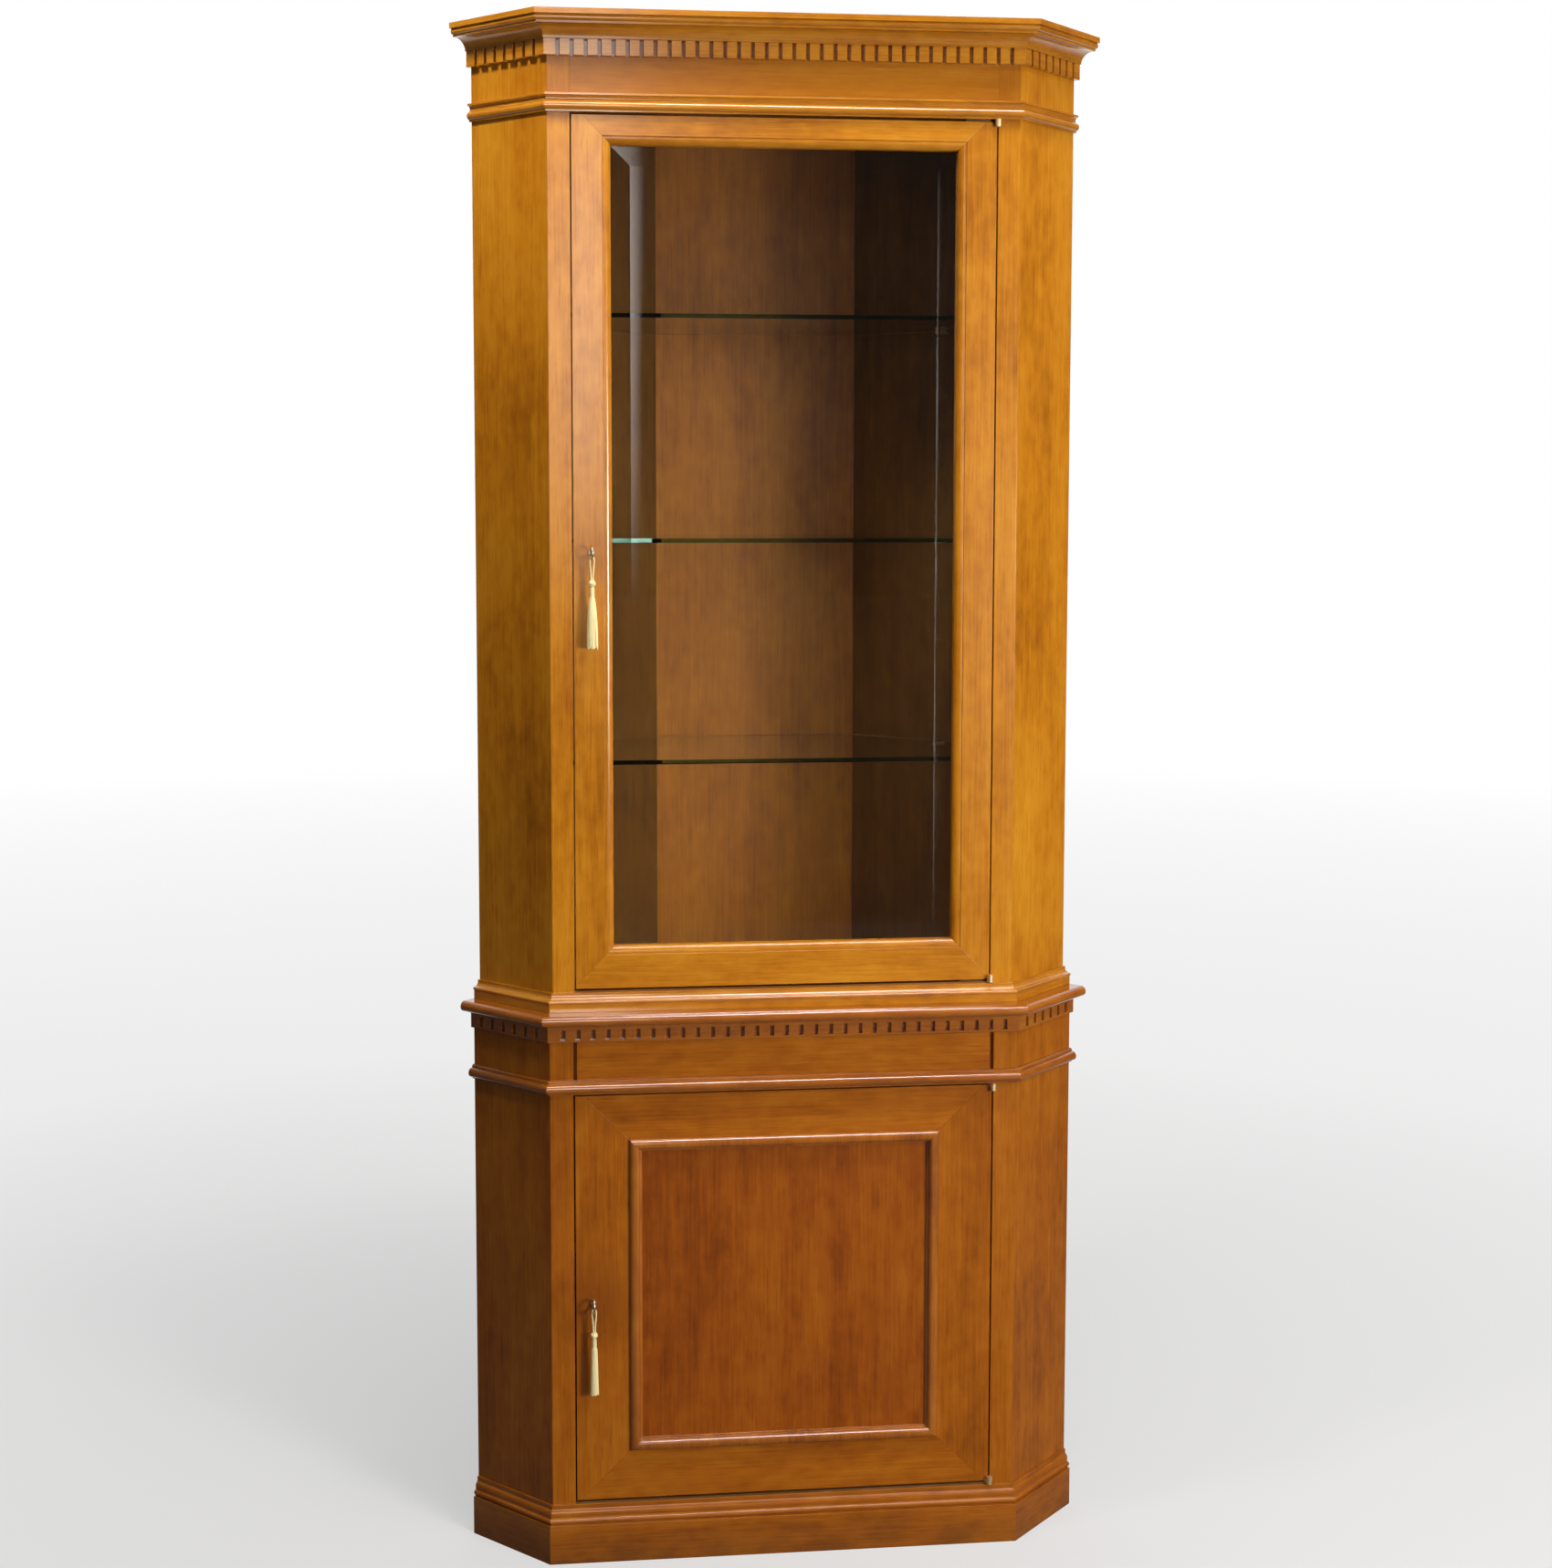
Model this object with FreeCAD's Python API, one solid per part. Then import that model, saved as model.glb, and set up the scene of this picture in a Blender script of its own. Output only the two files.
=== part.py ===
import FreeCAD, Part
import math
import os

# Two-stage corner display cabinet, in millimetres.
# X runs to the viewer's right, the front faces -Y, Z is up, the floor is Z = 0.
# Y = 0 lies midway between the cornice's front edge and the flat back.

# Overall sizes
cabinet_height = 2100.0
front_width = 636.0
cant_width = 140.0
back_depth = 362.0
base_height = 771.0
base_step_out = 12.0
board = 20.0
back_board = 10.0
case_top_recess = 6.0

# Moulding heights, from the floor up
plinth_height = 54.0
plinth_cap_height = 27.0
base_astragal_height = 20.0
base_frieze_height = 53.0
base_dentil_height = 20.0
waist_height = 20.0
case_foot_height = 25.0
case_astragal_height = 24.0
case_frieze_height = 48.0
cornice_dentil_height = 21.0
cornice_height = 33.0

# Moulding projections, from the face that each one is planted on
plinth_projection = 10.0
base_astragal_projection = 12.0
base_dentil_projection = 6.0
waist_projection = 26.0
case_foot_projection = 13.0
case_astragal_projection = 9.0
cornice_dentil_projection = 9.0
cornice_projection = 40.0

# Dentils
cornice_dentil_pitch = 18.6
cornice_dentil_slot = 5.0
cornice_dentil_backing = 2.0
base_dentil_pitch = 20.6
base_dentil_slot = 7.0
base_dentil_slot_height = 14.0
base_dentil_backing = 1.0

# Face stiles and doors
case_stile_width = 30.0
base_stile_width = 32.0
door_thickness = 20.0
door_gap = 3.0
door_side_gap = 2.0
floor_reveal = 2.0
glazed_stile_width = 52.0
glazed_top_rail_width = 38.0
glazed_bottom_rail_width = 57.0
panel_stile_width = 82.0
panel_top_rail_width = 70.0
panel_bottom_rail_width = 76.0
sticking_width = 13.0
sticking_depth = 7.0
glass_seat_depth = 11.0
rebate_width = 10.0
glass_thickness = 5.0
glass_side_clearance = 1.0
glass_bevel_width = 26.0
glass_bevel_depth = 2.5
panel_recess = 4.0
panel_thickness = 8.0
panel_groove_depth = 8.0
panel_side_clearance = 1.0
bolection_width = 17.0
bolection_lap = 8.0
bolection_height = 7.0
frieze_groove_width = 5.0
frieze_groove_depth = 7.0

# Shelves and their pegs
glass_shelf_count = 3
glass_shelf_pitch = 304.0
glass_shelf_thickness = 6.0
shelf_front_set_back = 45.0
shelf_wall_clearance = 2.0
wood_shelf_thickness = 18.0
wood_shelf_height_share = 0.5
peg_radius = 2.5
peg_length = 20.0
peg_seat_depth = 7.0
peg_place_share = 0.55

# Pivot hinges at the right-hand corners of the doors
hinge_plate_length = 42.0
hinge_plate_width = 13.0
hinge_plate_inset = 3.0
hinge_plate_thickness = 1.8
hinge_eye_radius = 4.0
hinge_eye_height = 7.0
hinge_eye_stand_off = 0.4
hinge_pin_radius = 2.0
hinge_running_clearance = 0.05
hinge_end_play = 0.1

# Rim locks on the left-hand stiles
lock_backset = 24.0
lock_case_width = 38.0
lock_case_height = 46.0
lock_case_depth = 11.0
lock_case_wall = 1.5
lock_case_edge_margin = 1.0
bolt_length = 30.0
bolt_height = 8.0
bolt_thickness = 5.0
bolt_rise = 8.0
bolt_clearance = 0.1
keyhole_clearance = 1.2
glazed_key_height_share = 0.507
panel_key_height_share = 0.492

# Keys
key_shank_radius = 2.5
key_running_clearance = 0.06
key_stand_out = 6.0
key_collar_radius = 4.0
key_collar_length = 2.0
key_collar_gap = 0.5
key_bit_length = 4.0
key_bit_reach = 5.5
key_bit_thickness = 1.6
bow_radius = 8.5
bow_wire_radius = 1.6

# Tassels on the keys
tassel_cord_diameter = 2.0
tassel_cord_clearance = 0.35
tassel_cord_drop = 30.0
tassel_knot_radius = 5.0
tassel_cup_clearance = 0.35
tassel_cup_radius = 4.2
tassel_neck_radius = 3.1
tassel_neck_length = 12.0
glazed_tassel_skirt_length = 72.0
glazed_tassel_skirt_radius = 7.5
panel_tassel_skirt_length = 68.0
panel_tassel_skirt_radius = 6.0
tassel_shoulder_share = 0.6
tassel_belly_share = 0.9
tassel_hem_share = 0.8
tassel_hem_height = 3.0

# One overrun for all cuts, well past every piece that is cut
overrun = cabinet_height

# Outlines of the mouldings, as shares of projection and height.
# A pair is a straight edge's end, four numbers are an arc's middle and end.
plinth_cap_shares = [(0, 0), (0.7, 0), (0.7, 0.06), (0.92, 0.19, 0.7, 0.32), (0.6, 0.32),
                     (0.56, 0.4), (0.53, 0.62, 0.24, 0.76), (0.24, 1), (0, 1)]
base_astragal_shares = [(0, 0), (0.35, 0), (0.35, 0.12), (1, 0.44, 0.4, 0.78), (0.4, 0.9),
                        (0.2, 1), (0, 1)]
waist_shares = [(0, 0), (0.26, 0), (0.32, 0.2, 0.56, 0.27), (0.72, 0.27),
                (1, 0.62, 0.8, 0.97), (0.76, 1), (0, 1)]
case_foot_shares = [(0, 0), (0.88, 0), (0.88, 0.46), (1, 0.55, 0.88, 0.64),
                    (0.5, 0.7, 0.3, 0.9), (0.3, 1), (0, 1)]
case_astragal_shares = [(0, 0), (0.5, 0), (0.5, 0.1), (1, 0.33, 0.52, 0.56), (0.4, 0.62),
                        (0.46, 0.82, 0.84, 0.88), (0.84, 1), (0, 1)]
cornice_shares = [(0, 0), (0.28, 0), (0.28, 0.1), (0.43, 0.35, 0.78, 0.46), (0.83, 0.46),
                  (0.83, 0.55), (0.93, 0.63, 0.9, 0.76), (1, 0.78), (1, 1), (0, 1)]

# The door frame's stuck moulding, as shares of its width and depth
sticking_shares = [(0, 1), (0.28, 0.38, 0.86, 0.14), (0.86, 0)]

# The bolection bead from its lap on the frame, as shares of its width and of its height
# over the panel
bolection_shares = [(0.1, 0.8, 0.4, 1), (0.7, 0.88, 0.82, 0.44), (0.82, 0.24), (1, 0.16),
                    (1, 0)]

# Derived levels
base_floor_top = plinth_height + plinth_cap_height + floor_reveal
base_carcass_top = base_height - board
waist_bottom = base_height - waist_height
base_dentil_bottom = waist_bottom - base_dentil_height
base_frieze_bottom = base_dentil_bottom - base_frieze_height
base_head = base_frieze_bottom - base_astragal_height
panel_door_bottom = base_floor_top + door_gap
panel_door_top = base_head - door_gap
case_floor_top = base_height + case_foot_height + floor_reveal
case_carcass_top = cabinet_height - case_top_recess
cornice_bottom = cabinet_height - cornice_height
cornice_dentil_bottom = cornice_bottom - cornice_dentil_height
case_frieze_bottom = cornice_dentil_bottom - case_frieze_height
case_head = case_frieze_bottom - case_astragal_height
glazed_door_bottom = case_floor_top + door_gap
glazed_door_top = case_head - door_gap

# Derived plan: the corner between the front and a canted side turns by 45 degrees
root_two = math.sqrt(2)
mitre_slope = math.tan(math.radians(22.5))
base_front_width = front_width + 2 * base_step_out * mitre_slope
glazed_half_opening = front_width / 2 - case_stile_width
panel_half_opening = base_front_width / 2 - base_stile_width
glazed_half = glazed_half_opening - door_side_gap
panel_half = panel_half_opening - door_side_gap
front_y = -(back_depth - cornice_projection) / 2
base_front_y = front_y - base_step_out
wall_reach = front_width / 2 + cant_width * root_two
LEFT = -1
RIGHT = 1

os.makedirs("parts", exist_ok=True)


def vec(x, y, z=0.0):
    return FreeCAD.Vector(x, y, z)


def front_corner(side, projection):
    """Plan point where the front meets a canted side, at a projection from the upper faces."""
    return vec(side * (front_width / 2 + projection * mitre_slope), front_y - projection)


def wall_end(side, projection):
    """Plan point where a canted side, at a projection, ends on the wall plane."""
    return vec(side * (front_width / 2 + (cant_width + projection) / root_two),
               front_y + (cant_width - projection) / root_two)


def side_end(side, projection, wall_inset):
    """Plan point on a canted side's line, short of the wall plane by an inset."""
    toward_front = vec(-side, -1) / root_two
    return wall_end(side, projection) + toward_front * wall_inset


def back_corner(side, wall_inset):
    """Plan point where a wall panel meets the flat back, both inset alike."""
    return vec(side * (wall_reach - back_depth - (root_two - 1) * wall_inset),
               front_y + back_depth - wall_inset)


def cant_point(side, projection, y):
    """Plan point on a canted side's line at a given Y."""
    depth = y - front_y
    return vec(side * (front_width / 2 + projection * mitre_slope + depth + projection), y)


def prism(points, low, high):
    """Upright solid over a plan outline."""
    raised = [vec(p.x, p.y, low) for p in points]
    wire = Part.makePolygon(raised + raised[:1])
    return Part.Face(wire).extrude(vec(0, 0, high - low))


def block(x_low, x_high, y_low, y_high, z_low, z_high):
    return Part.makeBox(x_high - x_low, y_high - y_low, z_high - z_low, vec(x_low, y_low, z_low))


def rod(radius, start, axis, length):
    return Part.makeCylinder(radius, length, start, axis)


def outline_face(steps, place):
    """Face from an outline: pairs are straight ends, fours are an arc's middle and end."""
    edges = []
    first = here = place(*steps[0])
    for step in steps[1:]:
        end = place(*step[-2:])
        if len(step) == 2:
            edges.append(Part.LineSegment(here, end).toShape())
        else:
            edges.append(Part.Arc(here, place(*step[:2]), end).toShape())
        here = end
    edges.append(Part.LineSegment(here, first).toShape())
    return Part.Face(Part.Wire(edges))


def save(name, *solids):
    shape = solids[0] if len(solids) == 1 else Part.makeCompound(list(solids))
    shape.exportStep("parts/" + name + ".step")


# Runs of moulding: left canted side, front, right canted side
def run_frame(run):
    """Start point on the upper face, outward normal and direction of one run."""
    if run == "front":
        return front_corner(LEFT, 0), vec(0, -1), vec(1, 0)
    if run == "left":
        return wall_end(LEFT, 0), vec(-1, -1) / root_two, vec(1, -1) / root_two
    return front_corner(RIGHT, 0), vec(1, -1) / root_two, vec(1, 1) / root_two


def run_ends(run, projection):
    """Plan points of the two ends of a run at a projection, mitred at the corners."""
    if run == "front":
        return front_corner(LEFT, projection), front_corner(RIGHT, projection)
    if run == "left":
        return wall_end(LEFT, projection), front_corner(LEFT, projection)
    return front_corner(RIGHT, projection), wall_end(RIGHT, projection)


def moulding_run(run, start, projection, bottom, height, shares):
    """One mitred length of moulding planted on a face that stands out by start."""
    origin, normal, along = run_frame(run)

    def place(out_share, up_share):
        spot = origin + normal * (start + projection * out_share) - along * overrun
        return vec(spot.x, spot.y, bottom + height * up_share)

    bar = outline_face(shares, place).extrude(along * (overrun + overrun))
    inner_a, inner_b = run_ends(run, start - board)
    outer_a, outer_b = run_ends(run, start + projection + board)
    return bar.common(prism([inner_a, outer_a, outer_b, inner_b], bottom, bottom + height))


RUNS = ("left", "front", "right")
plain_shares = [(0, 0), (1, 0), (1, 1), (0, 1)]


def moulding(start, projection, bottom, height, shares):
    return [moulding_run(run, start, projection, bottom, height, shares) for run in RUNS]


def dentil_run(run, start, projection, bottom, height, pitch, slot, slot_low, slot_high, backing):
    """Strip of dentils: a plain length with slots cut down to its backing."""
    strip = moulding_run(run, start, projection, bottom, height, plain_shares)
    origin, normal, along = run_frame(run)
    end_a, end_b = run_ends(run, start + projection)
    length = (end_b - end_a).Length
    teeth = max(1, round(length / pitch))
    step = length / teeth
    slots = []
    for index in range(1, teeth):
        middle = end_a + along * (step * index) + normal * (backing - projection)
        near = along * (slot / 2)
        far = normal * (projection + board)
        outline = [middle - near, middle + near, middle + near + far, middle - near + far]
        slots.append(prism(outline, slot_low, slot_high))
    return strip.cut(Part.makeCompound(slots))


# Carcass boards, alike in the base and in the upper case
def carcass(prefix, step_out, half_opening, low, high):
    """Canted sides, face stiles and back panels of one stage."""
    inner = step_out - board
    y_face = front_y - step_out
    boards = {}
    for side, word in ((LEFT, "left"), (RIGHT, "right")):
        side_plan = [wall_end(side, step_out), front_corner(side, step_out),
                     front_corner(side, inner), wall_end(side, inner)]
        boards[prefix + "_side_" + word] = prism(side_plan, low, high)
        stile_plan = [front_corner(side, step_out), vec(side * half_opening, y_face),
                      vec(side * half_opening, y_face + board), front_corner(side, inner)]
        boards[prefix + "_stile_" + word] = prism(stile_plan, low, high)
        back_plan = [side_end(side, inner, 0), back_corner(side, 0),
                     back_corner(side, back_board), side_end(side, inner, back_board)]
        boards[prefix + "_back_" + word] = prism(back_plan, low, high)
    centre_plan = [back_corner(LEFT, 0), back_corner(RIGHT, 0),
                   back_corner(RIGHT, back_board), back_corner(LEFT, back_board)]
    boards[prefix + "_back_centre"] = prism(centre_plan, low, high)
    return boards


def inside_plan(step_out, half_opening, front, wall_inset, clearance):
    """Plan of a level board inside one stage; front is the Y of its front edge."""
    inner = step_out - board - clearance
    y_back_of_stile = front_y - step_out + board
    plan = []
    for side in (LEFT, RIGHT):
        arm = []
        if front < y_back_of_stile:
            arm += [vec(side * half_opening, front), vec(side * half_opening, y_back_of_stile),
                    cant_point(side, inner, y_back_of_stile)]
        else:
            arm += [cant_point(side, inner, front)]
        arm += [side_end(side, inner, wall_inset), back_corner(side, wall_inset)]
        plan += arm if side == LEFT else arm[::-1]
    return plan


# Shelf pegs: brass pins in blind holes, two on the canted sides and two on the wall panels
def peg_places(step_out):
    """Plan point on the inner face and inward direction of each peg of one shelf."""
    inner = step_out - board
    places = []
    for side in (LEFT, RIGHT):
        near = front_corner(side, inner)
        far = side_end(side, inner, back_board)
        places.append((near + (far - near) * peg_place_share, vec(-side, 1) / root_two))
        near = side_end(side, inner, back_board)
        far = back_corner(side, back_board)
        places.append((near + (far - near) * peg_place_share, vec(-side, -1) / root_two))
    return places


def pegs_under(step_out, shelf_bottom):
    pins = []
    for spot, inward in peg_places(step_out):
        start = spot - inward * peg_seat_depth
        start.z = shelf_bottom - peg_radius
        pins.append(rod(peg_radius, start, inward, peg_length))
    return pins


def bored(solid, pins):
    """Solid with the blind holes that the pins sit in."""
    for pin in pins:
        if solid.BoundBox.intersect(pin.BoundBox):
            solid = solid.cut(pin)
    return solid


# Base stage
base_boards = carcass("base", base_step_out, panel_half_opening, 0, base_carcass_top)
wood_shelf_bottom = base_floor_top + (base_carcass_top - base_floor_top) * wood_shelf_height_share
base_pegs = pegs_under(base_step_out, wood_shelf_bottom)
for name, solid in base_boards.items():
    save(name, bored(solid, base_pegs))
base_floor_plan = inside_plan(base_step_out, panel_half_opening, base_front_y, back_board, 0)
save("base_floor", prism(base_floor_plan, base_floor_top - board, base_floor_top))
base_top_plan = [wall_end(LEFT, base_step_out), front_corner(LEFT, base_step_out),
                 front_corner(RIGHT, base_step_out), wall_end(RIGHT, base_step_out),
                 back_corner(RIGHT, 0), back_corner(LEFT, 0)]
save("base_top", prism(base_top_plan, base_carcass_top, base_height))
frieze_front = block(-panel_half_opening, panel_half_opening, base_front_y, base_front_y + board,
                     base_head, base_carcass_top)
for side in (LEFT, RIGHT):
    groove_edges = sorted((side * panel_half_opening,
                           side * (panel_half_opening - frieze_groove_width)))
    frieze_front = frieze_front.cut(block(groove_edges[0], groove_edges[1], base_front_y,
                                          base_front_y + frieze_groove_depth,
                                          base_head, base_carcass_top))
save("base_frieze_rail", frieze_front)
wood_shelf_plan = inside_plan(base_step_out, panel_half_opening, base_front_y + shelf_front_set_back,
                              back_board + shelf_wall_clearance, shelf_wall_clearance)
save("base_shelf", prism(wood_shelf_plan, wood_shelf_bottom,
                         wood_shelf_bottom + wood_shelf_thickness))

# Base mouldings
save("plinth_boards", *moulding(base_step_out, plinth_projection, 0, plinth_height, plain_shares))
save("plinth_cap", *moulding(base_step_out, plinth_projection, plinth_height, plinth_cap_height,
                             plinth_cap_shares))
save("base_astragal", *moulding(base_step_out, base_astragal_projection, base_head,
                                base_astragal_height, base_astragal_shares))
base_slot_low = base_dentil_bottom + (base_dentil_height - base_dentil_slot_height) / 2
save("base_dentils", *[dentil_run(run, base_step_out, base_dentil_projection, base_dentil_bottom,
                                  base_dentil_height, base_dentil_pitch, base_dentil_slot,
                                  base_slot_low, base_slot_low + base_dentil_slot_height,
                                  base_dentil_backing) for run in RUNS])
save("waist_moulding", *moulding(base_step_out, waist_projection, waist_bottom, waist_height,
                                 waist_shares))

# Upper case
case_boards = carcass("case", 0, glazed_half_opening, base_height, case_carcass_top)
shelf_bottoms = [case_floor_top + glass_shelf_pitch * (index + 1)
                 for index in range(glass_shelf_count)]
case_pegs = []
for shelf_bottom in shelf_bottoms:
    case_pegs += pegs_under(0, shelf_bottom)
for name, solid in case_boards.items():
    save(name, bored(solid, case_pegs))
case_floor_plan = inside_plan(0, glazed_half_opening, front_y, back_board, 0)
save("case_floor", prism(case_floor_plan, case_floor_top - board, case_floor_top))
case_top_plan = inside_plan(0, glazed_half_opening, front_y + board, back_board, 0)
save("case_top", prism(case_top_plan, case_carcass_top - board, case_carcass_top))
save("case_frieze_rail", block(-glazed_half_opening, glazed_half_opening, front_y, front_y + board,
                               case_head, case_carcass_top))
glass_shelf_plan = inside_plan(0, glazed_half_opening, front_y + shelf_front_set_back,
                               back_board + shelf_wall_clearance, shelf_wall_clearance)
shelf_words = ["low", "middle", "high"] + ["extra_" + str(n) for n in range(glass_shelf_count)]
for word, shelf_bottom in zip(shelf_words, shelf_bottoms):
    save("glass_shelf_" + word, prism(glass_shelf_plan, shelf_bottom,
                                      shelf_bottom + glass_shelf_thickness))
save("shelf_pegs", *(base_pegs + case_pegs))

# Upper mouldings
save("case_foot_moulding", *moulding(0, case_foot_projection, base_height, case_foot_height,
                                     case_foot_shares))
save("case_astragal", *moulding(0, case_astragal_projection, case_head, case_astragal_height,
                                case_astragal_shares))
save("cornice_dentils", *[dentil_run(run, 0, cornice_dentil_projection, cornice_dentil_bottom,
                                     cornice_dentil_height, cornice_dentil_pitch,
                                     cornice_dentil_slot, cornice_dentil_bottom, cornice_bottom,
                                     cornice_dentil_backing) for run in RUNS])
save("cornice_moulding", *moulding(0, cornice_projection, cornice_bottom, cornice_height,
                                   cornice_shares))


# Doors: mitred frames, drawn as a profile along each member
def frame_members(half_width, bottom, top, stile, top_rail, bottom_rail, y_face, profile):
    """Four mitred members; profile gives outline steps (distance from sight edge, depth)."""
    door_space = block(-half_width, half_width, y_face - board, y_face + door_thickness, bottom, top)
    diagonal = {"bl": vec(-1, 0, -1), "br": vec(1, 0, -1), "tl": vec(-1, 0, 1), "tr": vec(1, 0, 1)}
    inner = {"bl": vec(-half_width + stile, 0, bottom + bottom_rail),
             "br": vec(half_width - stile, 0, bottom + bottom_rail),
             "tl": vec(-half_width + stile, 0, top - top_rail),
             "tr": vec(half_width - stile, 0, top - top_rail)}
    members = {"left_stile": ("bl", "tl", vec(-1, 0, 0), stile),
               "right_stile": ("br", "tr", vec(1, 0, 0), stile),
               "bottom_rail": ("bl", "br", vec(0, 0, -1), bottom_rail),
               "top_rail": ("tl", "tr", vec(0, 0, 1), top_rail)}
    solids = {}
    for word, (first, second, outward, width) in members.items():
        along = (inner[second] - inner[first]).normalize()
        start = inner[first] - along * overrun

        def place(distance, depth):
            return start + outward * distance + vec(0, y_face + depth, 0)

        bar = outline_face(profile(width), place).extrude(along * (overrun + overrun))
        wedge = []
        for key, reach in ((first, width * 2), (second, width * 2), (second, -width), (first, -width)):
            wedge.append(inner[key] + diagonal[key] * reach + vec(0, y_face - board, 0))
        region = Part.Face(Part.makePolygon(wedge + wedge[:1])).extrude(vec(0, overrun, 0))
        solids[word] = bar.common(region).common(door_space)
    return solids


def stuck_profile(width):
    """Glazed door member: stuck moulding in front of the glass, rebate behind it."""
    steps = []
    for share in sticking_shares:
        sized = []
        for index, value in enumerate(share):
            sized.append(value * (sticking_depth if index % 2 else sticking_width))
        steps.append(tuple(sized))
    return steps + [(width, 0), (width, door_thickness), (rebate_width, door_thickness),
                    (rebate_width, glass_seat_depth), (0, glass_seat_depth)]


def grooved_profile(width):
    """Panel door member: square section with a groove for the panel."""
    groove_back = panel_recess + panel_thickness
    return [(0, 0), (width, 0), (width, door_thickness), (0, door_thickness), (0, groove_back),
            (panel_groove_depth, groove_back), (panel_groove_depth, panel_recess),
            (0, panel_recess)]


def glazing_bead_profile(width):
    """Square bead that holds the glass from inside."""
    front = glass_seat_depth + glass_thickness
    return [(0, front), (rebate_width, front), (rebate_width, door_thickness), (0, door_thickness)]


def bolection_profile(width):
    """Raised bead that laps the frame and runs down onto the panel."""
    crest = panel_recess + bolection_height
    steps = [(bolection_lap, 0)]
    for share in bolection_shares:
        sized = []
        for index, value in enumerate(share):
            if index % 2:
                sized.append(panel_recess - crest * value)
            else:
                sized.append(bolection_lap - bolection_width * value)
        steps.append(tuple(sized))
    return steps + [(0, panel_recess), (0, 0)]


# Pivot hinges: cranked plates let into the door's edges, with their knuckles in front
def hinge_plan(axis):
    """Plan outline of one cranked plate, from its knuckle to its far end."""
    face = axis.y + hinge_eye_radius + hinge_eye_stand_off
    left = axis.x - hinge_plate_length
    return [vec(left, face + hinge_plate_width), vec(left, face + hinge_plate_inset),
            vec(axis.x - hinge_eye_radius * 2, face + hinge_plate_inset),
            vec(axis.x - hinge_eye_radius, axis.y), axis, vec(axis.x, face + hinge_plate_width)]


def hinge_pair(axis, door_edge, frame_edge):
    """Door plate and frame plate of one pivot hinge; the edges are levels facing each other."""
    up = 1 if frame_edge > door_edge else -1
    plan = hinge_plan(axis)

    def slab(level, thickness):
        return prism(plan, min(level, level + thickness), max(level, level + thickness))

    def drum(radius, level, height):
        return rod(radius, vec(axis.x, axis.y, min(level, level + height)), vec(0, 0, 1), abs(height))

    door_plate = slab(door_edge, -up * hinge_plate_thickness)
    door_plate = door_plate.fuse(drum(hinge_eye_radius, door_edge, -up * hinge_eye_height))
    recess = door_plate.copy()
    bore = drum(hinge_pin_radius + hinge_running_clearance, door_edge - up * overrun, up * overrun)
    door_plate = door_plate.cut(bore)
    frame_plate = slab(frame_edge, -up * hinge_plate_thickness)
    knuckle_height = abs(frame_edge - door_edge) - hinge_end_play
    frame_plate = frame_plate.fuse(drum(hinge_eye_radius, frame_edge, -up * knuckle_height))
    pin_length = abs(frame_edge - door_edge) + hinge_eye_height
    frame_plate = frame_plate.fuse(drum(hinge_pin_radius, frame_edge, -up * pin_length))
    return door_plate.removeSplitter(), frame_plate.removeSplitter(), recess


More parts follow.
